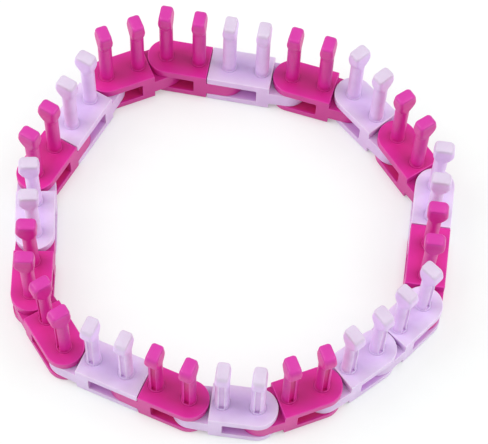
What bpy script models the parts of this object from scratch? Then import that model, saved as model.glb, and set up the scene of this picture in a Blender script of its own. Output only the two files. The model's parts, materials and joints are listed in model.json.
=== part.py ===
"""Adjustable knitting loom: a closed ring of nineteen hinged links, in magenta and lilac plastic.

Each link is one moulding: a clevis of two plates at one end, a tongue at the other, and two
pegs with overhanging heads on the upper plate. The tongue of each link turns in the clevis
of the next, on a hinge pin that stands under the first peg. Metres, +Z up, the ring on z = 0.
"""

import math

import bmesh
import bpy
from mathutils import Matrix, Vector

# The ring, clockwise from above, from the link at the back
MAGENTA_LINKS = (1, 3, 5, 7, 10, 12, 14, 15, 17, 19)
SQUARE_LINKS = (2, 7, 13, 18)      # square plates that lock straight against the link before
LINK_COUNT = 19
CLOSING_BAR_LINKS = 2              # links 17 and 18 lie in line, and link 19 closes the ring
FIRST_HEADING_DEG = -7.6
HINGE_BENDS_DEG = (0.0, 6.9, 32.1, 7.4, 41.0, 0.0, 37.5, 8.6, 15.8, 27.8, 16.4, 0.0, 34.5, 32.5, -2.3)

# Link body
LINK_WIDTH = 0.019                 # across the plates, and twice the radius of a round end
PLATE_THICKNESS = 0.0047           # upper and lower plate
SLOT_HEIGHT = 0.0092               # between the plates
SLOT_CORNER_RADIUS = 0.0009        # at the closed end of the slot
WEB_THICKNESS = 0.0064             # solid wall between the slot and the shoulder
TONGUE_TIP_GAP = 0.0062            # from the tip of a tongue to the closed end of the slot it is in
TONGUE_SIDE_INSET = 0.0003         # the tip is this much smaller in radius than the plates
TONGUE_GAP = 0.0003                # over and under the tongue
SHOULDER_GAP = 0.00045             # from a round end to the shoulder of the link before
SQUARE_END_GAP = 0.00055           # the same for a square end
RIM_CHAMFER = 0.0005               # upper and lower rim of the body

# Hinge pin, pressed in from below
PIN_DIAMETER = 0.005
PIN_PRESS_GAP = 0.0002             # round the pin in the plates
PIN_RUNNING_GAP = 0.0003           # round the pin in the tongue
PIN_COVER = 0.0017                 # plate left over the blind end of the pin's hole
PIN_END_GAP = 0.0003               # over the pin's upper end
PIN_RECESS = 0.0003                # the pin's lower end lies this far inside the underside
PIN_CHAMFER = 0.0006

# Pegs: one on the hinge axis, one near the shoulder
PEG_DIAMETER = 0.0067
PEG_HEIGHT = 0.04                  # above the plate, head included
PEG_EDGE_MARGIN = 0.00115          # from the foot of the second peg to the shoulder
PEG_ROOT = 0.0005                  # how far the moulding of the peg runs into the plate
FOOT_FLARE = 0.0008                # the foot is this much larger in radius than the column
FOOT_FLARE_HEIGHT = 0.0009
FOOT_LIP = 0.0005                  # wall of the foot that stays in front of the groove
GROOVE_WIDTH = 0.0023
GROOVE_DEPTH = 0.0013
GROOVE_POCKET = 0.0006             # the groove sinks this far into the plate
GROOVE_STOP = 0.0003               # plain column between the groove and the head

# Peg head, as wide as the column along the link, with a rounded underside and leaning sides
HEAD_HEIGHT = 0.0117
HEAD_RIM_HEIGHT = 0.0056           # from the head's widest level to its top
HEAD_OUTWARD = 0.0022              # overhang beyond the column, to the outside of the ring
HEAD_INWARD = 0.0011               # the same to the inside
HEAD_OUTWARD_LEAN = 0.0012         # the outer end leans in by this much at the top
HEAD_INWARD_LEAN = 0.0005
HEAD_SIDE_LEAN = 0.0006
HEAD_CORNER_RADIUS = 0.0008
HEAD_TOP_ROUNDING = 0.0005
UNDERSIDE_HEIGHT_SHARES = (0.4, 1.0)
UNDERSIDE_SWELL_SHARES = (0.58, 1.0)

OVERRUN = 0.002                    # cutters pass the faces that they open by this much

# Facets
ROUND_END_FACETS = 10
PIN_FACETS = 10
CORNER_FACETS = 3                  # on each quarter of a peg
SLOT_CORNER_FACETS = 2
SMOOTH_ANGLE_DEG = 35.0

# Worked out from the sizes above
HALF_WIDTH = LINK_WIDTH / 2
BODY_HEIGHT = 2 * PLATE_THICKNESS + SLOT_HEIGHT
TONGUE_RADIUS = HALF_WIDTH - TONGUE_SIDE_INSET
SLOT_END = TONGUE_RADIUS + TONGUE_TIP_GAP
SHOULDER = SLOT_END + WEB_THICKNESS
LINK_PITCH = SHOULDER + SHOULDER_GAP + HALF_WIDTH
SQUARE_END = LINK_PITCH - SHOULDER - SQUARE_END_GAP
SLOT_BOTTOM = PLATE_THICKNESS
SLOT_TOP = PLATE_THICKNESS + SLOT_HEIGHT
COLUMN_RADIUS = PEG_DIAMETER / 2
FOOT_RADIUS = COLUMN_RADIUS + FOOT_FLARE
SECOND_PEG = SHOULDER - PEG_EDGE_MARGIN - FOOT_RADIUS
COLUMN_TOP = PEG_HEIGHT - HEAD_HEIGHT
HEAD_WIDEST = PEG_HEIGHT - HEAD_RIM_HEIGHT
PIN_RADIUS = PIN_DIAMETER / 2
PIN_HOLE_TOP = BODY_HEIGHT - PIN_COVER

PLASTICS = {
    "magenta_plastic": (0.62, 0.03, 0.27, 1.0),
    "lilac_plastic": (0.66, 0.47, 0.78, 1.0),
}


def clear_scene():
    for obj in list(bpy.data.objects):
        bpy.data.objects.remove(obj, do_unlink=True)


def plastic(name):
    """Satin moulded plastic in one of the two colours."""
    material = bpy.data.materials.get(name)
    if material is None:
        material = bpy.data.materials.new(name)
        material.use_nodes = True
        shader = material.node_tree.nodes["Principled BSDF"]
        shader.inputs["Base Color"].default_value = PLASTICS[name]
        shader.inputs["Roughness"].default_value = 0.35
        shader.inputs["Metallic"].default_value = 0.0
        material.diffuse_color = PLASTICS[name]
    return material


def add_object(name, bm):
    """Turn a bmesh into an object of the scene."""
    bmesh.ops.recalc_face_normals(bm, faces=bm.faces)
    mesh = bpy.data.meshes.new(name)
    bm.to_mesh(mesh)
    bm.free()
    obj = bpy.data.objects.new(name, mesh)
    bpy.context.scene.collection.objects.link(obj)
    return obj


def loft(sections):
    """A closed solid through sections with the same number of points."""
    bm = bmesh.new()
    loops = [[bm.verts.new(point) for point in section] for section in sections]
    for lower, upper in zip(loops, loops[1:]):
        for i in range(len(lower)):
            j = (i + 1) % len(lower)
            bm.faces.new((lower[i], lower[j], upper[j], upper[i]))
    bm.faces.new(reversed(loops[0]))
    bm.faces.new(loops[-1])
    return bm


def prism(outline, bottom, top):
    """A plan outline, raised from one height to another."""
    return loft([[(x, y, bottom) for x, y in outline], [(x, y, top) for x, y in outline]])


def arc(centre_x, radius, start_deg, end_deg, facets):
    """Points of an arc about a point on the link's centre line, both ends included."""
    angles = [math.radians(start_deg + (end_deg - start_deg) * i / facets) for i in range(facets + 1)]
    return [(centre_x + radius * math.cos(a), radius * math.sin(a)) for a in angles]


def circle(centre_x, radius, facets):
    """A polygon whose flats lie on the radius, so that a hole is never too small."""
    flat_radius = radius / math.cos(math.pi / facets)
    half_step = 180.0 / facets
    return arc(centre_x, flat_radius, half_step, half_step + 360.0, facets)[:facets]


def boolean(target, tool, operation):
    """Join a tool to the target or cut it out, and drop the tool."""
    modifier = target.modifiers.new("boolean", "BOOLEAN")
    modifier.operation = operation
    modifier.solver = "EXACT"
    modifier.object = tool
    depsgraph = bpy.context.evaluated_depsgraph_get()
    result = bpy.data.meshes.new_from_object(target.evaluated_get(depsgraph))
    target.modifiers.clear()
    target.data = result
    bpy.data.objects.remove(tool, do_unlink=True)


def plates(square):
    """Both plates and the web as one block, with chamfered rims and a round or square end."""
    outline = [(SHOULDER, -HALF_WIDTH), (SHOULDER, HALF_WIDTH)]
    if square:
        outline += [(-SQUARE_END, HALF_WIDTH), (-SQUARE_END, -HALF_WIDTH)]
    else:
        outline += arc(0.0, HALF_WIDTH, 90.0, 270.0, ROUND_END_FACETS)
    bm = prism(outline, 0.0, BODY_HEIGHT)
    rims = [edge for edge in bm.edges if edge.verts[0].co.z == edge.verts[1].co.z]
    bmesh.ops.bevel(bm, geom=rims, offset=RIM_CHAMFER, segments=1, affect="EDGES")
    return add_object("plates", bm)


def slot_cutter():
    """The slot between the plates, open at the end and both sides, with rounded inner corners."""
    corner_x = SLOT_END - SLOT_CORNER_RADIUS
    profile = [(-HALF_WIDTH - OVERRUN, SLOT_BOTTOM)]
    for centre_z, start_deg in (
        (SLOT_BOTTOM + SLOT_CORNER_RADIUS, 270.0),
        (SLOT_TOP - SLOT_CORNER_RADIUS, 0.0),
    ):
        for x, rise in arc(corner_x, SLOT_CORNER_RADIUS, start_deg, start_deg + 90.0, SLOT_CORNER_FACETS):
            profile.append((x, centre_z + rise))
    profile.append((-HALF_WIDTH - OVERRUN, SLOT_TOP))
    side = HALF_WIDTH + OVERRUN
    return add_object("slot", loft([[(x, y, z) for x, z in profile] for y in (-side, side)]))


def tongue():
    """The tongue, from inside the web to its round tip about the next hinge."""
    root = SHOULDER - WEB_THICKNESS / 2
    outline = [(root, HALF_WIDTH), (root, -HALF_WIDTH), (SHOULDER + SHOULDER_GAP, -HALF_WIDTH)]
    outline += arc(LINK_PITCH, TONGUE_RADIUS, -90.0, 90.0, ROUND_END_FACETS)
    outline.append((SHOULDER + SHOULDER_GAP, HALF_WIDTH))
    return add_object("tongue", prism(outline, SLOT_BOTTOM + TONGUE_GAP, SLOT_TOP - TONGUE_GAP))


def peg_section(half_width, inward, outward, corner_radius, height):
    """One level of a peg: a circle on the column, a rounded rectangle on the head."""
    step = math.pi / 2 / CORNER_FACETS
    flat_radius = corner_radius / math.cos(step / 2)
    section = []
    for quarter, (side_x, side_y) in enumerate(((1, 1), (-1, 1), (-1, -1), (1, -1))):
        reach = outward if side_y > 0 else inward
        for i in range(CORNER_FACETS):
            angle = quarter * math.pi / 2 + (i + 0.5) * step
            x = side_x * (half_width - corner_radius) + flat_radius * math.cos(angle)
            y = side_y * (reach - corner_radius) + flat_radius * math.sin(angle)
            section.append((x, y, height))
    return section


def peg(peg_x):
    """A peg with a flared foot, a round column and a head that overhangs inward and outward."""
    root_radius = FOOT_RADIUS + FOOT_FLARE * PEG_ROOT / FOOT_FLARE_HEIGHT
    levels = ((root_radius, -PEG_ROOT), (COLUMN_RADIUS, FOOT_FLARE_HEIGHT), (COLUMN_RADIUS, COLUMN_TOP))
    sections = [peg_section(radius, radius, radius, radius, height) for radius, height in levels]
    for rise, swell in zip(UNDERSIDE_HEIGHT_SHARES, UNDERSIDE_SWELL_SHARES):
        sections.append(peg_section(
            COLUMN_RADIUS,
            COLUMN_RADIUS + HEAD_INWARD * swell,
            COLUMN_RADIUS + HEAD_OUTWARD * swell,
            COLUMN_RADIUS + (HEAD_CORNER_RADIUS - COLUMN_RADIUS) * swell,
            COLUMN_TOP + (HEAD_WIDEST - COLUMN_TOP) * rise,
        ))
    for below_top, inset in ((HEAD_TOP_ROUNDING, 0.0), (0.0, HEAD_TOP_ROUNDING)):
        lean = 1.0 - below_top / HEAD_RIM_HEIGHT
        sections.append(peg_section(
            COLUMN_RADIUS - HEAD_SIDE_LEAN * lean - inset,
            COLUMN_RADIUS + HEAD_INWARD - HEAD_INWARD_LEAN * lean - inset,
            COLUMN_RADIUS + HEAD_OUTWARD - HEAD_OUTWARD_LEAN * lean - inset,
            HEAD_CORNER_RADIUS - inset,
            PEG_HEIGHT - below_top,
        ))
    placed = [[(peg_x + x, y, BODY_HEIGHT + z) for x, y, z in section] for section in sections]
    return add_object("peg", loft(placed))


def groove_cutter(peg_x):
    """The yarn groove on the outer side of a peg, with a pocket behind the lip of its foot."""
    left = peg_x - GROOVE_WIDTH / 2
    right = peg_x + GROOVE_WIDTH / 2
    inner = COLUMN_RADIUS - GROOVE_DEPTH
    outer = FOOT_RADIUS - FOOT_LIP
    outline = [(left, inner), (right, inner), (right, outer), (left, outer)]
    bottom = BODY_HEIGHT - GROOVE_POCKET
    top = BODY_HEIGHT + COLUMN_TOP - GROOVE_STOP
    return add_object("groove", prism(outline, bottom, top))


def link_mesh(square, colour):
    """One whole link about its own hinge axis: x along the link, y to the outside of the ring."""
    body = plates(square)
    boolean(body, slot_cutter(), "DIFFERENCE")
    boolean(body, tongue(), "UNION")
    pin_hole = circle(0.0, PIN_RADIUS + PIN_PRESS_GAP, PIN_FACETS)
    boolean(body, add_object("pin_hole", prism(pin_hole, -OVERRUN, PIN_HOLE_TOP)), "DIFFERENCE")
    bore = circle(LINK_PITCH, PIN_RADIUS + PIN_RUNNING_GAP, PIN_FACETS)
    boolean(body, add_object("bore", prism(bore, 0.0, BODY_HEIGHT)), "DIFFERENCE")
    for peg_x in (0.0, SECOND_PEG):
        boolean(body, peg(peg_x), "UNION")
        boolean(body, groove_cutter(peg_x), "DIFFERENCE")
    mesh = body.data
    bpy.data.objects.remove(body, do_unlink=True)
    finish_mesh(mesh, colour)
    return mesh


def pin_mesh(colour):
    """A hinge pin with a lead-in chamfer at its upper end."""
    top = PIN_HOLE_TOP - PIN_END_GAP
    levels = ((PIN_RADIUS, PIN_RECESS), (PIN_RADIUS, top - PIN_CHAMFER), (PIN_RADIUS - PIN_CHAMFER, top))
    pin = add_object("pin", loft([[(x, y, z) for x, y in circle(0.0, r, PIN_FACETS)] for r, z in levels]))
    mesh = pin.data
    bpy.data.objects.remove(pin, do_unlink=True)
    finish_mesh(mesh, colour)
    return mesh


def finish_mesh(mesh, colour):
    """Smooth the round surfaces, keep the edges crisp, and colour the plastic."""
    mesh.shade_smooth()
    mesh.set_sharp_from_angle(angle=math.radians(SMOOTH_ANGLE_DEG))
    mesh.materials.clear()
    mesh.materials.append(plastic(colour))


def direction(heading):
    return Vector((math.cos(heading), math.sin(heading), 0.0))


def ring_placements():
    """Hinge position and heading of each link, clockwise; the last three links close the ring."""
    headings = [math.radians(FIRST_HEADING_DEG)]
    for bend in HINGE_BENDS_DEG:
        headings.append(headings[-1] - math.radians(bend))
    hinges = [Vector((0.0, 0.0, 0.0))]
    for heading in headings:
        hinges.append(hinges[-1] + LINK_PITCH * direction(heading))
    span = hinges[0] - hinges[-1]
    bar = CLOSING_BAR_LINKS * LINK_PITCH
    lean = math.acos((bar ** 2 + span.length ** 2 - LINK_PITCH ** 2) / (2 * bar * span.length))
    bar_heading = math.atan2(span.y, span.x) + lean
    for _ in range(CLOSING_BAR_LINKS):
        headings.append(bar_heading)
        hinges.append(hinges[-1] + LINK_PITCH * direction(bar_heading))
    last = hinges[0] - hinges[-1]
    headings.append(math.atan2(last.y, last.x))
    return [(hinge, heading) for hinge, heading in zip(hinges[:LINK_COUNT], headings)]


def centre_of(placed_meshes):
    """Middle of the ring's outer rectangle, seen from above."""
    corners = [place @ vertex.co for place, mesh in placed_meshes for vertex in mesh.vertices]
    xs = [corner.x for corner in corners]
    ys = [corner.y for corner in corners]
    return Vector(((min(xs) + max(xs)) / 2, (min(ys) + max(ys)) / 2, 0.0))


def build():
    clear_scene()
    links = {
        (square, colour): link_mesh(square, colour) for square in (False, True) for colour in PLASTICS
    }
    pins = {colour: pin_mesh(colour) for colour in PLASTICS}
    chain = []
    for number, (hinge, heading) in enumerate(ring_placements(), start=1):
        colour = "magenta_plastic" if number in MAGENTA_LINKS else "lilac_plastic"
        place = Matrix.Translation(hinge) @ Matrix.Rotation(heading, 4, "Z")
        chain.append((f"link_{number:02d}", place, links[number in SQUARE_LINKS, colour]))
        chain.append((f"hinge_pin_{number:02d}", place, pins[colour]))
    shift = Matrix.Translation(-centre_of([(place, mesh) for _, place, mesh in chain]))
    for name, place, mesh in chain:
        obj = bpy.data.objects.new(name, mesh)
        obj.matrix_world = shift @ place
        bpy.context.scene.collection.objects.link(obj)


build()
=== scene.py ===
"""Looks of the adjustable knitting loom: finely moulded links and pins in satin plastic.

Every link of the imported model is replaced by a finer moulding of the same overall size, with
rounded rims, a filleted slot, round pegs and a yarn groove with soft lips. The slot's floor and
the tongue's tip follow the photograph and differ a little from the solids. Metres, +Z up.
"""

import json
import math

import bmesh
import bpy
import numpy as np
from mathutils import Matrix, Vector


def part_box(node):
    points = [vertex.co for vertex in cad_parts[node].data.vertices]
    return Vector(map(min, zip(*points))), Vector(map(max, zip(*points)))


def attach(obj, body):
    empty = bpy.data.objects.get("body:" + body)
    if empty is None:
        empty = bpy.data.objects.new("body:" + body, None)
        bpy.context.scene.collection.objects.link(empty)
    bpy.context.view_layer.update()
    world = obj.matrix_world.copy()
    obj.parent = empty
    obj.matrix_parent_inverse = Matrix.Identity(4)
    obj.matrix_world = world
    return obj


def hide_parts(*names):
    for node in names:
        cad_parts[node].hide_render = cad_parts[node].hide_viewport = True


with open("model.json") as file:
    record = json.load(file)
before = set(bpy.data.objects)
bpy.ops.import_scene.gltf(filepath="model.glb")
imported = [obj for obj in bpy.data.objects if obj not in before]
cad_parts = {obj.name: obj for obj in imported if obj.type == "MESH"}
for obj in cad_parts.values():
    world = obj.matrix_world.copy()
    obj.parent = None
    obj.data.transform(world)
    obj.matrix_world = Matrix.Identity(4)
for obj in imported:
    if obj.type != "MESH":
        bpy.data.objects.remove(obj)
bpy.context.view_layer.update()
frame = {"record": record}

# The ring
LINK_COUNT = 19
MAGENTA_LINKS = (1, 3, 5, 7, 10, 12, 14, 15, 17, 19)
SQUARE_LINKS = (2, 7, 13, 18)      # square plates that lock straight against the link before

# Link body
LINK_WIDTH = 0.019
PLATE_THICKNESS = 0.0047
LOWER_PLATE_THICKNESS = 0.004      # 0.7 mm less than the solids have, and the slot as much higher
SLOT_HEIGHT = 0.0099
SLOT_CORNER_RADIUS = 0.0009
WEB_THICKNESS = 0.0064
TONGUE_TIP_GAP = 0.0062
TONGUE_SETBACK = 0.0012            # the tip's centre lies behind the hinge axis by this much
TONGUE_SIDE_INSET = 0.0003
TONGUE_GAP = 0.0003
SHOULDER_GAP = 0.00045
SQUARE_END_GAP = 0.0003
SQUARE_CORNER_RADIUS = 0.0006
RIM_RADIUS = 0.0005                # upper and lower rim of the body
EDGE_RADIUS = 0.00025              # every other moulded edge

# Hinge pin
PIN_DIAMETER = 0.005
PIN_PRESS_GAP = 0.0002
PIN_RUNNING_GAP = 0.0003
PIN_COVER = 0.0017
PIN_END_GAP = 0.0003
PIN_RECESS = 0.0003
PIN_CHAMFER = 0.0006

# Pegs
PEG_DIAMETER = 0.0067
PEG_HEIGHT = 0.04
PEG_EDGE_MARGIN = 0.00115
PEG_ROOT = 0.001                   # how far the column is set into the plate
FOOT_RADIUS = 0.00415
COLLAR_RADIUS = 0.00365            # the collar that closes the groove at its lower end
COLLAR_HEIGHT = 0.0006
COLLAR_ROUNDING = 0.00015
COLLAR_FILLET = 0.00012            # between the collar and the column
COLLAR_LIP = 0.00045               # wall of the collar in front of the groove
MOAT_DEPTH = 0.00028               # the ring sunk round the collar, out to the foot's radius
MOAT_ROUNDING = 0.0002
GROOVE_WIDTH = 0.0023
GROOVE_DEPTH = 0.0013
GROOVE_LIP_RADIUS = 0.0003
GROOVE_FLOOR_RADIUS = 0.0004
GROOVE_FOOT = 0.0002               # lower end of the groove, above the plate
GROOVE_STOP = 0.0003
GROOVE_END = 0.0007                # the groove runs out over this height
POCKET_INSET = 0.00004             # keeps the pocket's walls just inside the groove's
HEAD_HEIGHT = 0.0117
HEAD_RIM_HEIGHT = 0.0056
HEAD_OUTWARD = 0.0021
HEAD_INWARD = 0.0011
HEAD_OUTWARD_LEAN = 0.0005         # the outer end leans in by this much up to the top
HEAD_INWARD_LEAN = 0.0002
HEAD_SIDE_LEAN = 0.0005
HEAD_CORNER_RADIUS = 0.0015
HEAD_OUTWARD_ROUNDING = (0.0017, 0.003)   # across and up
HEAD_INWARD_ROUNDING = (0.0012, 0.0014)
HEAD_SIDE_ROUNDING = (0.0008, 0.0008)
HEAD_CROWN = 0.0002                # the top rises by this much to its middle
UNDERSIDE_POWER = 1.8              # how fast the head swells above the column

OVERRUN = 0.002                    # cutters reach past what they cut by this much
MERGE_DISTANCE = 1e-7
FLAT_ANGLE_DEG = 0.5               # faces that meet at less count as one flat face
SMALLEST_AREA = 1e-12              # keeps the curvature of slivers finite

# Plastics: colours by place on the moulding. The body tone and the clouds are the plastic's own;
# the other tones by place are painted light and shade.
MAGENTA_TONES = {
    "body": (0.67, 0.020, 0.315),
    # lit copy of the plastic: the top face in a tone of its own, apart from the walls, for how the
    # light falls on it
    "face": (0.69, 0.018, 0.32),
    # painted shade on the top face round the pegs, where they keep light off the plate
    "painted_peg_shade": (0.60, 0.013, 0.235),
    # lit copy of the plastic: the columns, a little paler than the plates
    "column": (0.71, 0.018, 0.33),
    # painted sheen on the tops of the heads: a greyer tone
    "head": (0.66, 0.036, 0.375),
    # painted shade in the groove: a deeper, more saturated tone
    "groove": (0.68, 0.006, 0.24),
    # painted shade inside the slot, fading out towards its open sides
    "slot": (0.66, 0.020, 0.195),
    # painted shading of the shoulder wall, across a narrow gap from the next link: much darker on
    # lilac, a little paler on magenta
    "painted_shoulder_shading": (0.72, 0.030, 0.36),
    # painted highlight on the small roundings of the edges
    "edge": (0.80, 0.07, 0.46),
}
# Lilac: the same painted light and shade, tone by tone, as the magenta above
LILAC_TONES = {
    "body": (0.785, 0.60, 0.885),
    "face": (0.747, 0.62, 0.838),
    "painted_peg_shade": (0.70, 0.53, 0.835),
    "column": (0.825, 0.62, 0.945),
    "head": (0.70, 0.60, 0.75),
    "groove": (0.82, 0.59, 0.90),
    "slot": (0.72, 0.41, 0.82),
    "painted_shoulder_shading": (0.42, 0.15, 0.52),
    "edge": (0.86, 0.76, 0.92),
}
CLOUD_TINT = (0.90, 0.86, 0.90)
CLOUD_SCALE = 70.0
CLOUD_DETAIL = 3.0
CLOUD_NOISE_RANGE = (0.35, 0.65)   # of the noise, from no tint to the full one
GRAIN_SCALE = 2200.0
GRAIN_DETAIL = 2.0
GRAIN_NOISE_RANGE = (0.3, 0.7)     # of the noise, over the range of the roughness
GRAIN_HEIGHT = 0.00003
GRAIN_STRENGTH = 0.25
ROUGHNESS_RANGE = (0.32, 0.46)
EDGE_HIGHLIGHT_SHARE = 0.7
EDGE_HIGHLIGHT_CURVATURE = (1500.0, 5000.0)  # per metre: where the painted highlight of the edges starts and is full
SPECULAR_LEVEL = 0.42
SUBSURFACE_RADIUS = (1.0, 0.6, 0.8)
SUBSURFACE_SCALE = 0.001
MAGENTA_SUBSURFACE = 0.1
LILAC_SUBSURFACE = 0.2
PEG_SHADE_REACH = (0.0036, 0.0085)      # the painted shade round the pegs fades over this distance

# Facets
ROUND_END_FACETS = 48
PIN_FACETS = 40
CORNER_FACETS = 6
SECTION_ARC_FACETS = 24            # each corner of a peg's section, before its points are spaced
RIM_SEGMENTS = 4
EDGE_SEGMENTS = 3
PEG_POINTS = 56                    # round a peg, apart from the groove
GROOVE_ARC_POINTS = 6
UNDERSIDE_LEVELS = 10
ROUNDING_LEVELS = 4
HEAD_TOP_LEVELS = 8
CROWN_LEVELS = 5
SHARP_ANGLE_DEG = 30.0

# Worked out from the sizes above
HALF_WIDTH = LINK_WIDTH / 2
BODY_HEIGHT = LOWER_PLATE_THICKNESS + SLOT_HEIGHT + PLATE_THICKNESS
TONGUE_RADIUS = HALF_WIDTH - TONGUE_SIDE_INSET
SLOT_END = TONGUE_RADIUS + TONGUE_TIP_GAP
SHOULDER = SLOT_END + WEB_THICKNESS
LINK_PITCH = SHOULDER + SHOULDER_GAP + HALF_WIDTH
SQUARE_END = LINK_PITCH - SHOULDER - SQUARE_END_GAP
SLOT_TOP = LOWER_PLATE_THICKNESS + SLOT_HEIGHT
COLUMN_RADIUS = PEG_DIAMETER / 2
SECOND_PEG = SHOULDER - PEG_EDGE_MARGIN - FOOT_RADIUS
COLUMN_TOP = PEG_HEIGHT - HEAD_HEIGHT
HEAD_WIDEST = PEG_HEIGHT - HEAD_RIM_HEIGHT
PIN_RADIUS = PIN_DIAMETER / 2
PIN_HOLE_TOP = BODY_HEIGHT - PIN_COVER
HALF_GROOVE = GROOVE_WIDTH / 2
LIP_CENTRE_X = HALF_GROOVE + GROOVE_LIP_RADIUS
LIP_X = LIP_CENTRE_X * COLUMN_RADIUS / (COLUMN_RADIUS - GROOVE_LIP_RADIUS)
HEAD_BASE_Z = BODY_HEIGHT + COLUMN_TOP
HEAD_TOP_Z = BODY_HEIGHT + PEG_HEIGHT

# Where the painted light and shade tones fade: heights, radii about a peg's axis, and distances
# aside from the link's axis
FACE_FADE_Z = (BODY_HEIGHT - RIM_RADIUS, BODY_HEIGHT - RIM_RADIUS / 5)
COLUMN_LIGHT_FADE_Z = (BODY_HEIGHT, BODY_HEIGHT + FOOT_RADIUS)
HEAD_SHEEN_FADE_Z = (HEAD_TOP_Z - HEAD_OUTWARD_ROUNDING[1], HEAD_TOP_Z - HEAD_SIDE_ROUNDING[1])
GROOVE_SHADE_RADII = (COLUMN_RADIUS - GROOVE_DEPTH * 0.7, COLUMN_RADIUS - GROOVE_DEPTH * 0.2)
GROOVE_SHADE_FADE_Z = (HEAD_BASE_Z - GROOVE_END, HEAD_BASE_Z)
SLOT_SHADE_FADE_ASIDE = (HALF_WIDTH - 3 * RIM_RADIUS, HALF_WIDTH - RIM_RADIUS / 2)
SHOULDER_SHADING_FADE_Z = (SLOT_TOP, BODY_HEIGHT - RIM_RADIUS)
SHOULDER_SHADING_FADE_ASIDE = (HALF_WIDTH / 2, HALF_WIDTH - RIM_RADIUS)

# Light: name, place, edge length and power of each soft box
WHITE = (1.0, 1.0, 1.0, 1.0)
WORLD_STRENGTH = 0.6
SOFT_BOXES = (
    ("soft_box_left", (-0.8, 0.0, 0.9), 0.8, 7.0),
    ("soft_box_right", (0.8, 0.0, 0.9), 0.8, 6.0),
)
FLOOR_SIZE = 8.0
FLOOR_DROP = 0.0003                # below the object's underside
FLOOR_TONE = (0.93, 0.985, 0.95)
FLOOR_GLOW_SHARE = 0.57            # of the floor's look, evenly white; the rest takes the shadow
CONTACT_GLOW_SHARE = 0.25          # the same where the object stands on the floor; lowered there by an occlusion term, a painted contact shade over the true shadow
CONTACT_REACH = 0.005
CONTACT_OPENNESS = (0.5, 1.0)      # of the floor, from beside the object to free of it

# Camera of the photograph
CAMERA_LOCATION = (0.00503, -0.41624, 0.8697)
CAMERA_PITCH_DEG = 63.83           # downward
CAMERA_ROLL_DEG = 2.90
CAMERA_LENS_MM = 146.26
SENSOR_WIDTH_MM = 36.0
CLIP_START = 0.01
CLIP_END = 50.0


def new_object(name, bm):
    """Turn a bmesh into an object of the scene."""
    bmesh.ops.recalc_face_normals(bm, faces=bm.faces)
    mesh = bpy.data.meshes.new(name)
    bm.to_mesh(mesh)
    bm.free()
    obj = bpy.data.objects.new(name, mesh)
    bpy.context.scene.collection.objects.link(obj)
    return obj


def loft(sections):
    """A closed solid through sections with the same number of points."""
    bm = bmesh.new()
    loops = [[bm.verts.new(point) for point in section] for section in sections]
    for lower, upper in zip(loops, loops[1:]):
        for i in range(len(lower)):
            j = (i + 1) % len(lower)
            bm.faces.new((lower[i], lower[j], upper[j], upper[i]))
    bm.faces.new(reversed(loops[0]))
    bm.faces.new(loops[-1])
    return bm


def prism(outline, bottom, top):
    """A solid with upright sides over a plan outline."""
    return loft([[(x, y, bottom) for x, y in outline], [(x, y, top) for x, y in outline]])


def arc(centre, radius, start_deg, end_deg, facets):
    """Points of an arc, both ends included."""
    turn = end_deg - start_deg
    angles = [math.radians(start_deg + turn * i / facets) for i in range(facets + 1)]
    return [(centre[0] + radius * math.cos(a), centre[1] + radius * math.sin(a)) for a in angles]


def circle(centre, radius, facets):
    """Points of a full circle, without the doubled last one."""
    return arc(centre, radius, 0.0, 360.0, facets)[:facets]


def boolean(target, tool, operation):
    """Join a tool to the target or cut it out, and drop the tool."""
    modifier = target.modifiers.new("boolean", "BOOLEAN")
    modifier.operation = operation
    modifier.solver = "EXACT"
    modifier.object = tool
    depsgraph = bpy.context.evaluated_depsgraph_get()
    result = bpy.data.meshes.new_from_object(target.evaluated_get(depsgraph))
    target.modifiers.clear()
    target.data = result
    bpy.data.objects.remove(tool, do_unlink=True)


def plate_outline(square, inset):
    """Plan of the plates, drawn in by the inset all round."""
    side = HALF_WIDTH - inset
    outline = [(SHOULDER - inset, -side), (SHOULDER - inset, side)]
    if not square:
        return outline + arc((0.0, 0.0), side, 90.0, 270.0, ROUND_END_FACETS)
    corner_x = SQUARE_CORNER_RADIUS - SQUARE_END
    corner_y = HALF_WIDTH - SQUARE_CORNER_RADIUS
    radius = SQUARE_CORNER_RADIUS - inset
    outline += arc((corner_x, corner_y), radius, 90.0, 180.0, CORNER_FACETS)
    return outline + arc((corner_x, -corner_y), radius, 180.0, 270.0, CORNER_FACETS)


def plates(square):
    """Both plates and the web as one block, with rounded rims."""
    rim = arc((RIM_RADIUS, RIM_RADIUS), RIM_RADIUS, 270.0, 180.0, RIM_SEGMENTS)
    levels = rim + [(inset, BODY_HEIGHT - z) for inset, z in reversed(rim)]
    sections = [[(x, y, z) for x, y in plate_outline(square, inset)] for inset, z in levels]
    return new_object("plates", loft(sections))


def slot_cutter():
    """The slot between the plates, with rounded inner corners."""
    corner_x = SLOT_END - SLOT_CORNER_RADIUS
    low = LOWER_PLATE_THICKNESS + SLOT_CORNER_RADIUS
    high = SLOT_TOP - SLOT_CORNER_RADIUS
    profile = [(-HALF_WIDTH - OVERRUN, LOWER_PLATE_THICKNESS)]
    profile += arc((corner_x, low), SLOT_CORNER_RADIUS, 270.0, 360.0, CORNER_FACETS)
    profile += arc((corner_x, high), SLOT_CORNER_RADIUS, 0.0, 90.0, CORNER_FACETS)
    profile.append((-HALF_WIDTH - OVERRUN, SLOT_TOP))
    side = HALF_WIDTH + OVERRUN
    return new_object("slot", loft([[(x, y, z) for x, z in profile] for y in (-side, side)]))


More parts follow.
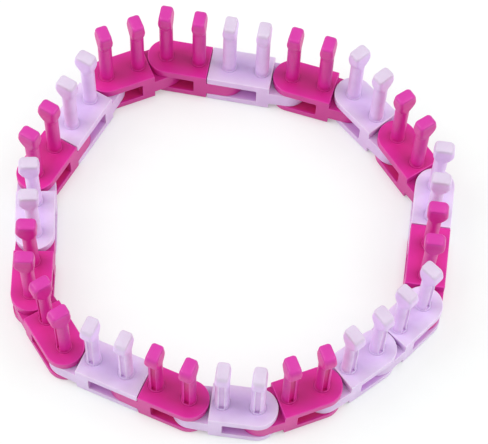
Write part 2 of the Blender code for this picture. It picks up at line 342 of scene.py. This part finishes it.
def tongue():
    """The tongue, from inside the web to its round tip about the next hinge."""
    root = SHOULDER - WEB_THICKNESS / 2
    outline = [(root, HALF_WIDTH), (root, -HALF_WIDTH), (SHOULDER + SHOULDER_GAP, -HALF_WIDTH)]
    outline += arc((LINK_PITCH - TONGUE_SETBACK, 0.0), TONGUE_RADIUS, -90.0, 90.0, ROUND_END_FACETS)
    outline.append((SHOULDER + SHOULDER_GAP, HALF_WIDTH))
    low = LOWER_PLATE_THICKNESS + TONGUE_GAP
    return new_object("tongue", prism(outline, low, SLOT_TOP - TONGUE_GAP))


def round_edges(obj):
    """Merge the flat leftovers of the Booleans, then round every edge that is still sharp."""
    bm = bmesh.new()
    bm.from_mesh(obj.data)
    bmesh.ops.remove_doubles(bm, verts=bm.verts, dist=MERGE_DISTANCE)
    bmesh.ops.dissolve_limit(
        bm, angle_limit=math.radians(FLAT_ANGLE_DEG), use_dissolve_boundaries=False,
        verts=bm.verts, edges=bm.edges, delimit={"NORMAL"})
    sharp_angle = math.radians(SHARP_ANGLE_DEG)
    sharp = [
        edge for edge in bm.edges
        if edge.is_manifold and edge.calc_face_angle() > sharp_angle
    ]
    bmesh.ops.bevel(
        bm, geom=sharp, offset=EDGE_RADIUS, offset_type="OFFSET", segments=EDGE_SEGMENTS,
        profile=0.5, affect="EDGES", clamp_overlap=False)
    bm.to_mesh(obj.data)
    bm.free()


def turned(name, peg_x, profile):
    """A solid of revolution about a peg's axis, heights taken from the upper plate's face."""
    sections = [
        [(x, y, BODY_HEIGHT + z) for x, y in circle((peg_x, 0.0), radius, PEG_POINTS)]
        for radius, z in profile
    ]
    return new_object(name, loft(sections))


def collar(peg_x):
    """The low collar of a peg, with a rounded rim and a small fillet up to the column."""
    rim_centre = (COLLAR_RADIUS - COLLAR_ROUNDING, COLLAR_HEIGHT - COLLAR_ROUNDING)
    fillet_centre = (COLUMN_RADIUS + COLLAR_FILLET, COLLAR_HEIGHT + COLLAR_FILLET)
    profile = [(COLLAR_RADIUS, -PEG_ROOT / 2)]
    profile += arc(rim_centre, COLLAR_ROUNDING, 0.0, 90.0, ROUNDING_LEVELS)
    profile += arc(fillet_centre, COLLAR_FILLET + POCKET_INSET, 270.0, 180.0, ROUNDING_LEVELS)[1:]
    return turned("collar", peg_x, profile)


def moat(peg_x):
    """Cutter for the sunk ring round a collar; the collar fills its middle again."""
    rim_centre = (FOOT_RADIUS + MOAT_ROUNDING, -MOAT_ROUNDING)
    profile = [(FOOT_RADIUS, -MOAT_DEPTH)]
    profile += arc(rim_centre, MOAT_ROUNDING, 180.0, 90.0, ROUNDING_LEVELS)
    profile.append((FOOT_RADIUS + MOAT_ROUNDING, OVERRUN))
    return turned("moat", peg_x, profile)


def pocket(peg_x):
    """The lower end of the groove, behind the lip of the collar."""
    half_width = HALF_GROOVE - POCKET_INSET
    inner = COLUMN_RADIUS - GROOVE_DEPTH + POCKET_INSET
    outer = COLLAR_RADIUS - COLLAR_LIP
    outline = [
        (peg_x - half_width, inner), (peg_x + half_width, inner),
        (peg_x + half_width, outer), (peg_x - half_width, outer),
    ]
    return new_object("pocket", prism(outline, BODY_HEIGHT + GROOVE_FOOT, BODY_HEIGHT + OVERRUN))


def groove_section():
    """Half-open section of the groove, from the left lip to the right one, on the column."""
    centre_y = math.sqrt((COLUMN_RADIUS - GROOVE_LIP_RADIUS) ** 2 - LIP_CENTRE_X ** 2)
    lean = math.degrees(math.atan2(centre_y, -LIP_CENTRE_X))
    floor = COLUMN_RADIUS - GROOVE_DEPTH
    left = arc((-LIP_CENTRE_X, centre_y), GROOVE_LIP_RADIUS, lean, 0.0, GROOVE_ARC_POINTS)
    corner = (GROOVE_FLOOR_RADIUS - HALF_GROOVE, floor + GROOVE_FLOOR_RADIUS)
    left += arc(corner, GROOVE_FLOOR_RADIUS, 180.0, 270.0, GROOVE_ARC_POINTS)
    return left + [(-x, y) for x, y in reversed(left)]


def outer_side(x, half_x, half_y, radius):
    """Height of a rounded rectangle's outer side over a point of its width."""
    past_flat = max(0.0, abs(x) - (half_x - radius))
    return half_y - radius + math.sqrt(max(0.0, radius ** 2 - past_flat ** 2))


def round_section(half_x, half_y, radius, count):
    """Points evenly spaced from the right lip of the groove, round the back, to the left lip."""
    path = []
    for side_x, side_y, start in ((1, 1, 90.0), (1, -1, 0.0), (-1, -1, -90.0), (-1, 1, -180.0)):
        centre = (side_x * (half_x - radius), side_y * (half_y - radius))
        path += arc(centre, radius, start, start - 90.0, SECTION_ARC_FACETS)
    path = [(x, y) for x, y in path if y < 0.0 or abs(x) > LIP_X]
    lip_y = outer_side(LIP_X, half_x, half_y, radius)
    path = np.array([(LIP_X, lip_y)] + path + [(-LIP_X, lip_y)])
    lengths = np.concatenate(([0.0], np.cumsum(np.hypot(*np.diff(path, axis=0).T))))
    samples = np.linspace(0.0, lengths[-1], count)
    return list(zip(*(np.interp(samples, lengths, path[:, axis]) for axis in (0, 1))))


def peg_section(half_x, inward, outward, radius, groove_share):
    """One level of a peg: a rounded rectangle whose outer side may sink into the groove."""
    shift = (outward - inward) / 2
    half_y = (outward + inward) / 2
    section = round_section(half_x, half_y, radius, PEG_POINTS)
    groove = groove_section()
    last = len(groove) - 1
    for i, (x, y) in enumerate(groove[1:-1], start=1):
        plain_x = LIP_X * (2 * i / last - 1.0)
        plain_y = outer_side(plain_x, half_x, half_y, radius)
        section.append((
            plain_x + (x - plain_x) * groove_share,
            plain_y + (y - plain_y) * groove_share))
    return [(x, y + shift) for x, y in section]


def drawn_in(below_top, rounding):
    """How far the rounding at the top of a head draws its side in, at a depth below the top."""
    across, up = rounding
    share = max(0.0, 1.0 - below_top / up)
    return across * (1.0 - math.sqrt(1.0 - share ** 2))


def peg(peg_x):
    """A round column with the yarn groove, under a head that reaches inward and outward."""
    column = (COLUMN_RADIUS,) * 4
    levels = [(-PEG_ROOT, *column, 1.0)]
    groove_top = COLUMN_TOP - GROOVE_STOP
    for i in range(ROUNDING_LEVELS + 1):
        turn = i / ROUNDING_LEVELS * math.pi / 2
        z = groove_top - GROOVE_END * (1.0 - math.sin(turn))
        levels.append((z, *column, math.cos(turn)))
    levels.append((COLUMN_TOP, *column, 0.0))
    for i in range(1, UNDERSIDE_LEVELS + 1):
        rise = i / UNDERSIDE_LEVELS
        swell = 1.0 - (1.0 - rise) ** UNDERSIDE_POWER
        levels.append((
            COLUMN_TOP + (HEAD_WIDEST - COLUMN_TOP) * rise,
            COLUMN_RADIUS,
            COLUMN_RADIUS + HEAD_INWARD * swell,
            COLUMN_RADIUS + HEAD_OUTWARD * swell,
            COLUMN_RADIUS + (HEAD_CORNER_RADIUS - COLUMN_RADIUS) * swell,
            0.0))
    for i in range(HEAD_TOP_LEVELS + 1):
        turn = i / HEAD_TOP_LEVELS * math.pi / 2
        below_top = HEAD_OUTWARD_ROUNDING[1] * (1.0 - math.sin(turn))
        lean = 1.0 - below_top / HEAD_RIM_HEIGHT
        reaches = [
            COLUMN_RADIUS + reach - leaning * lean - drawn_in(below_top, rounding)
            for reach, leaning, rounding in (
                (0.0, HEAD_SIDE_LEAN, HEAD_SIDE_ROUNDING),
                (HEAD_INWARD, HEAD_INWARD_LEAN, HEAD_INWARD_ROUNDING),
                (HEAD_OUTWARD, HEAD_OUTWARD_LEAN, HEAD_OUTWARD_ROUNDING),
            )
        ]
        z = PEG_HEIGHT - HEAD_CROWN - below_top
        levels.append((z, *reaches, HEAD_CORNER_RADIUS, 0.0))
    sections = [
        [(peg_x + x, y, BODY_HEIGHT + z) for x, y in peg_section(*shape)]
        for z, *shape in levels
    ]
    rim = sections[-1]
    middle = sum(y for x, y, z in rim) / len(rim)
    for i in range(1, CROWN_LEVELS + 1):
        share = 1.0 - i / (CROWN_LEVELS + 0.5)   # the last ring stops short of the middle
        rise = HEAD_CROWN * (1.0 - share ** 2)
        sections.append([
            (peg_x + (x - peg_x) * share, middle + (y - middle) * share, z + rise)
            for x, y, z in rim
        ])
    return new_object("peg", loft(sections))


def link_mesh(square):
    """One whole link about its own hinge axis: x along the link, y to the outside of the ring."""
    body = plates(square)
    boolean(body, slot_cutter(), "DIFFERENCE")
    boolean(body, tongue(), "UNION")
    pin_hole = circle((0.0, 0.0), PIN_RADIUS + PIN_PRESS_GAP, PIN_FACETS)
    boolean(body, new_object("pin_hole", prism(pin_hole, -OVERRUN, PIN_HOLE_TOP)), "DIFFERENCE")
    bore = circle((LINK_PITCH, 0.0), PIN_RADIUS + PIN_RUNNING_GAP, PIN_FACETS)
    boolean(body, new_object("bore", prism(bore, 0.0, BODY_HEIGHT)), "DIFFERENCE")
    round_edges(body)
    for peg_x in (0.0, SECOND_PEG):
        boolean(body, moat(peg_x), "DIFFERENCE")
        boolean(body, collar(peg_x), "UNION")
        boolean(body, pocket(peg_x), "DIFFERENCE")
        boolean(body, peg(peg_x), "UNION")
    return finished(body)


def pin_mesh():
    """A hinge pin with a rounded lead-in at its upper end."""
    bevel = PIN_CHAMFER / 2
    lead_in_centre = (PIN_RADIUS - PIN_CHAMFER, PIN_HOLE_TOP - PIN_END_GAP - PIN_CHAMFER)
    profile = [(PIN_RADIUS - bevel, PIN_RECESS), (PIN_RADIUS, PIN_RECESS + bevel)]
    profile += arc(lead_in_centre, PIN_CHAMFER, 0.0, 90.0, ROUNDING_LEVELS)
    sections = [[(x, y, z) for x, y in circle((0.0, 0.0), r, PIN_FACETS)] for r, z in profile]
    return finished(new_object("pin", loft(sections)))


def mark_edge_highlights(mesh):
    """Store on each face how far it belongs to a small rounding, from its convex curvature: the
    strength of its painted highlight.
    """
    bm = bmesh.new()
    bm.from_mesh(mesh)
    layer = bm.faces.layers.float.new("edge_highlight_share")
    low, high = EDGE_HIGHLIGHT_CURVATURE
    for face in bm.faces:
        edges = [edge for edge in face.edges if edge.is_manifold]
        turn = sum(edge.calc_face_angle_signed(0.0) * edge.calc_length() for edge in edges)
        curvature = turn / max(face.calc_area(), SMALLEST_AREA)
        face[layer] = EDGE_HIGHLIGHT_SHARE * min(1.0, max(0.0, (curvature - low) / (high - low)))
    bm.to_mesh(mesh)
    bm.free()


def keep_place(mesh):
    """Store each point's place on the moulding, so that the tones follow it once it is turned."""
    points = np.empty(3 * len(mesh.vertices), dtype=np.float32)
    mesh.vertices.foreach_get("co", points)
    layer = mesh.attributes.new("moulding_place", "FLOAT_VECTOR", "POINT")
    layer.data.foreach_set("vector", points)


def finished(obj):
    """Smooth shading that keeps flat faces flat; returns the mesh and drops the object."""
    mark_edge_highlights(obj.data)
    keep_place(obj.data)
    obj.data.shade_smooth()
    obj.data.set_sharp_from_angle(angle=math.radians(SHARP_ANGLE_DEG))
    modifier = obj.modifiers.new("flat_faces", "WEIGHTED_NORMAL")
    modifier.keep_sharp = True
    depsgraph = bpy.context.evaluated_depsgraph_get()
    mesh = bpy.data.meshes.new_from_object(obj.evaluated_get(depsgraph))
    bpy.data.objects.remove(obj, do_unlink=True)
    return mesh


def stretched(nodes, link, value, low, high, out_low, out_high):
    """Map a texture value from one range to another and return the output socket."""
    node = nodes.new("ShaderNodeMapRange")
    node.inputs["From Min"].default_value = low
    node.inputs["From Max"].default_value = high
    node.inputs["To Min"].default_value = out_low
    node.inputs["To Max"].default_value = out_high
    link(value, node.inputs["Value"])
    return node.outputs["Result"]


def noise(nodes, link, place, scale, detail):
    """Noise over a place, as an output socket."""
    node = nodes.new("ShaderNodeTexNoise")
    node.inputs["Scale"].default_value = scale
    node.inputs["Detail"].default_value = detail
    link(place, node.inputs["Vector"])
    return node.outputs["Fac"]


def blend(nodes, link, share, first, second, mode="MIX"):
    """Mix two colours; the first may be a colour or another node's output."""
    node = nodes.new("ShaderNodeMix")
    node.data_type = "RGBA"
    node.blend_type = mode
    link(share, node.inputs[0])
    if isinstance(first, tuple):
        node.inputs[6].default_value = (*first, 1.0)
    else:
        link(first, node.inputs[6])
    node.inputs[7].default_value = (*second, 1.0)
    return node.outputs[2]


def calculated(nodes, link, operation, first, second):
    """Combine two values, each a number or another node's output."""
    node = nodes.new("ShaderNodeMath")
    node.operation = operation
    for socket, value in zip(node.inputs, (first, second)):
        if isinstance(value, float):
            socket.default_value = value
        else:
            link(value, socket)
    return node.outputs["Value"]


def distance(nodes, link, x, y):
    """Length of the plan vector with these two parts."""
    plan = nodes.new("ShaderNodeCombineXYZ")
    link(x, plan.inputs["X"])
    link(y, plan.inputs["Y"])
    length = nodes.new("ShaderNodeVectorMath")
    length.operation = "LENGTH"
    link(plan.outputs["Vector"], length.inputs[0])
    return length.outputs["Value"]


def tone_shares(nodes, link, place):
    """Where each tone lies: shares of the tones, in the order in which they are laid on; the tones
    here are painted light and shade.
    """
    def faded(value, limits, start, end):
        return stretched(nodes, link, value, *limits, start, end)

    def math_node(operation, first, second):
        return calculated(nodes, link, operation, first, second)

    def product(share, *factors):
        for factor in factors:
            share = math_node("MULTIPLY", share, factor)
        return share

    split = nodes.new("ShaderNodeSeparateXYZ")
    link(place, split.inputs["Vector"])
    x, y, z = split.outputs
    aside = math_node("ABSOLUTE", y, 0.0)
    clamp = nodes.new("ShaderNodeClamp")
    clamp.inputs["Max"].default_value = SECOND_PEG
    link(x, clamp.inputs["Value"])
    from_row = distance(nodes, link, math_node("SUBTRACT", x, clamp.outputs["Result"]), y)
    peg_x = product(math_node("GREATER_THAN", x, SECOND_PEG / 2), SECOND_PEG)
    from_peg = distance(nodes, link, math_node("SUBTRACT", x, peg_x), y)
    face = faded(z, FACE_FADE_Z, 0.0, 1.0)
    return {
        # lit copy on the top face
        "face": face,
        # painted shade round the pegs
        "painted_peg_shade": product(faded(from_row, PEG_SHADE_REACH, 1.0, 0.0), face),
        # lit copy on the columns
        "column": faded(z, COLUMN_LIGHT_FADE_Z, 0.0, 1.0),
        # painted sheen on the heads' tops
        "head": faded(z, HEAD_SHEEN_FADE_Z, 0.0, 1.0),
        # painted shade in the groove
        "groove": product(
            faded(from_peg, GROOVE_SHADE_RADII, 1.0, 0.0),
            face,
            faded(z, GROOVE_SHADE_FADE_Z, 1.0, 0.0)),
        # painted shade inside the slot
        "slot": product(
            faded(aside, SLOT_SHADE_FADE_ASIDE, 1.0, 0.0),
            math_node("LESS_THAN", x, SLOT_END + EDGE_RADIUS),
            math_node("LESS_THAN", z, SLOT_TOP + EDGE_RADIUS / 2),
            math_node("GREATER_THAN", z, LOWER_PLATE_THICKNESS - EDGE_RADIUS / 2)),
        # painted shading of the shoulder wall
        "painted_shoulder_shading": product(
            math_node("GREATER_THAN", x, SHOULDER - EDGE_RADIUS / 2),
            faded(z, SHOULDER_SHADING_FADE_Z, 1.0, 0.0),
            math_node("GREATER_THAN", z, SLOT_TOP - EDGE_RADIUS),
            faded(aside, SHOULDER_SHADING_FADE_ASIDE, 1.0, 0.0)),
    }


def plastic(name, tones, subsurface):
    """Moulded plastic, satin, in tones by place: painted shade round the pegs, in the groove, in
    the slot and on the shoulder wall, lit copies of the plastic on the top faces and columns, a
    paler painted sheen on the heads and paler painted highlights on the edges.
    """
    material = bpy.data.materials.new(name)
    material.use_nodes = True
    nodes = material.node_tree.nodes
    link = material.node_tree.links.new
    shader = nodes["Principled BSDF"]
    moulding = nodes.new("ShaderNodeAttribute")
    moulding.attribute_name = "moulding_place"
    place = moulding.outputs["Vector"]
    colour = tones["body"]
    for part, share in tone_shares(nodes, link, place).items():
        colour = blend(nodes, link, share, colour, tones[part])
    # painted highlight on the edges, from the share stored with the mesh
    edges = nodes.new("ShaderNodeAttribute")
    edges.attribute_name = "edge_highlight_share"
    colour = blend(nodes, link, edges.outputs["Fac"], colour, tones["edge"])
    clouds = noise(nodes, link, place, CLOUD_SCALE, CLOUD_DETAIL)
    tint = stretched(nodes, link, clouds, *CLOUD_NOISE_RANGE, 0.0, 1.0)
    colour = blend(nodes, link, tint, colour, CLOUD_TINT, "MULTIPLY")
    link(colour, shader.inputs["Base Color"])
    grain = noise(nodes, link, place, GRAIN_SCALE, GRAIN_DETAIL)
    roughness = stretched(nodes, link, grain, *GRAIN_NOISE_RANGE, *ROUGHNESS_RANGE)
    link(roughness, shader.inputs["Roughness"])
    bump = nodes.new("ShaderNodeBump")
    bump.inputs["Strength"].default_value = GRAIN_STRENGTH
    bump.inputs["Distance"].default_value = GRAIN_HEIGHT
    link(grain, bump.inputs["Height"])
    link(bump.outputs["Normal"], shader.inputs["Normal"])
    shader.inputs["Specular IOR Level"].default_value = SPECULAR_LEVEL
    shader.inputs["Subsurface Weight"].default_value = subsurface
    shader.inputs["Subsurface Radius"].default_value = SUBSURFACE_RADIUS
    shader.inputs["Subsurface Scale"].default_value = SUBSURFACE_SCALE
    return material


def coloured(mesh, material):
    """A copy of a mesh in one material."""
    mesh = mesh.copy()
    mesh.materials.clear()
    mesh.materials.append(material)
    return mesh


def body_of_nodes():
    """The moving body that each node of the record belongs to."""
    bodies = frame["record"]["behaviour"]["bodies"]
    return {node: body for body, nodes in bodies.items() for node in nodes}


def hinge_point(number):
    """Where the hinge axis of a link meets the floor."""
    low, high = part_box(f"hinge_pin_{number:02d}")
    return Vector(((low.x + high.x) / 2, (low.y + high.y) / 2, 0.0))


def dress():
    """Replace every link and pin by its finer moulding."""
    bodies = body_of_nodes()
    materials = {
        "magenta": plastic("magenta_moulded_plastic", MAGENTA_TONES, MAGENTA_SUBSURFACE),
        "lilac": plastic("lilac_moulded_plastic", LILAC_TONES, LILAC_SUBSURFACE),
    }
    links = {square: link_mesh(square) for square in (False, True)}
    pin = pin_mesh()
    meshes = {}
    for colour, material in materials.items():
        for square in (False, True):
            meshes[square, colour] = coloured(links[square], material)
        meshes["pin", colour] = coloured(pin, material)
    for number in range(1, LINK_COUNT + 1):
        start = hinge_point(number)
        ahead = hinge_point(number % LINK_COUNT + 1) - start
        place = Matrix.Translation(start) @ Matrix.Rotation(math.atan2(ahead.y, ahead.x), 4, "Z")
        colour = "magenta" if number in MAGENTA_LINKS else "lilac"
        for new_name, old_name, kind in (
            ("moulded_link", "link", number in SQUARE_LINKS),
            ("turned_pin", "hinge_pin", "pin"),
        ):
            name = f"{new_name}_{number:02d}"
            node = f"{old_name}_{number:02d}"
            mesh = meshes[kind, colour].copy()
            mesh.transform(place)
            piece = bpy.data.objects.new(name, mesh)
            bpy.context.scene.collection.objects.link(piece)
            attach(piece, bodies[node])
            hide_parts(node)


def stage():
    """White floor: part glow, so that it stays white in the picture, and part true shadow; next to
    the object an occlusion term lowers the glow, which paints the contact shade deeper.
    """
    bpy.ops.mesh.primitive_plane_add(size=FLOOR_SIZE, location=(0.0, 0.0, -FLOOR_DROP))
    floor = bpy.context.object
    floor.name = "floor"
    material = bpy.data.materials.new("white_floor")
    material.use_nodes = True
    nodes = material.node_tree.nodes
    link = material.node_tree.links.new
    nodes.clear()
    diffuse = nodes.new("ShaderNodeBsdfDiffuse")
    diffuse.inputs["Color"].default_value = (*FLOOR_TONE, 1.0)
    glow = nodes.new("ShaderNodeEmission")
    glow.inputs["Color"].default_value = WHITE
    rays = nodes.new("ShaderNodeLightPath").outputs
    seen = calculated(nodes, link, "MAXIMUM", rays["Is Camera Ray"], rays["Is Glossy Ray"])
    # painted contact shade: occlusion lowers the glow next to the object, so its true shadow shows
    # deeper
    painted_contact_shade = nodes.new("ShaderNodeAmbientOcclusion")
    painted_contact_shade.inputs["Distance"].default_value = CONTACT_REACH
    glow_share = stretched(
        nodes, link, painted_contact_shade.outputs["AO"], *CONTACT_OPENNESS, CONTACT_GLOW_SHARE, FLOOR_GLOW_SHARE)
    mix = nodes.new("ShaderNodeMixShader")
    output = nodes.new("ShaderNodeOutputMaterial")
    link(calculated(nodes, link, "MULTIPLY", seen, glow_share), mix.inputs[0])
    link(diffuse.outputs[0], mix.inputs[1])
    link(glow.outputs[0], mix.inputs[2])
    link(mix.outputs[0], output.inputs["Surface"])
    floor.data.materials.append(material)


def area_light(name, location, size, power):
    """A square soft box that faces the middle of the ring."""
    data = bpy.data.lights.new(name, "AREA")
    data.size = size
    data.energy = power
    light = bpy.data.objects.new(name, data)
    light.location = location
    light.rotation_euler = Vector(location).to_track_quat("Z", "Y").to_euler()
    bpy.context.scene.collection.objects.link(light)


def lights():
    """Even white surroundings and the soft boxes."""
    world = bpy.data.worlds.new("studio")
    world.use_nodes = True
    background = world.node_tree.nodes["Background"]
    background.inputs["Color"].default_value = WHITE
    background.inputs["Strength"].default_value = WORLD_STRENGTH
    bpy.context.scene.world = world
    for name, location, size, power in SOFT_BOXES:
        area_light(name, location, size, power)


def camera():
    """The photograph's camera, from its fitted place, pitch and roll."""
    pitch = math.radians(CAMERA_PITCH_DEG)
    roll = math.radians(CAMERA_ROLL_DEG)
    right = Vector((1.0, 0.0, 0.0))
    up = Vector((0.0, math.sin(pitch), math.cos(pitch)))
    back = Vector((0.0, -math.cos(pitch), math.sin(pitch)))
    rolled_right = math.cos(roll) * right + math.sin(roll) * up
    rolled_up = math.cos(roll) * up - math.sin(roll) * right
    data = bpy.data.cameras.new("camera")
    data.lens = CAMERA_LENS_MM
    data.sensor_width = SENSOR_WIDTH_MM
    data.clip_start = CLIP_START
    data.clip_end = CLIP_END
    obj = bpy.data.objects.new("camera", data)
    turn = Matrix((rolled_right, rolled_up, back)).transposed()
    obj.matrix_world = Matrix.Translation(CAMERA_LOCATION) @ turn.to_4x4()
    bpy.context.scene.collection.objects.link(obj)
    bpy.context.scene.camera = obj


dress()
stage()
lights()
camera()
bpy.context.scene.view_settings.view_transform = "Standard"
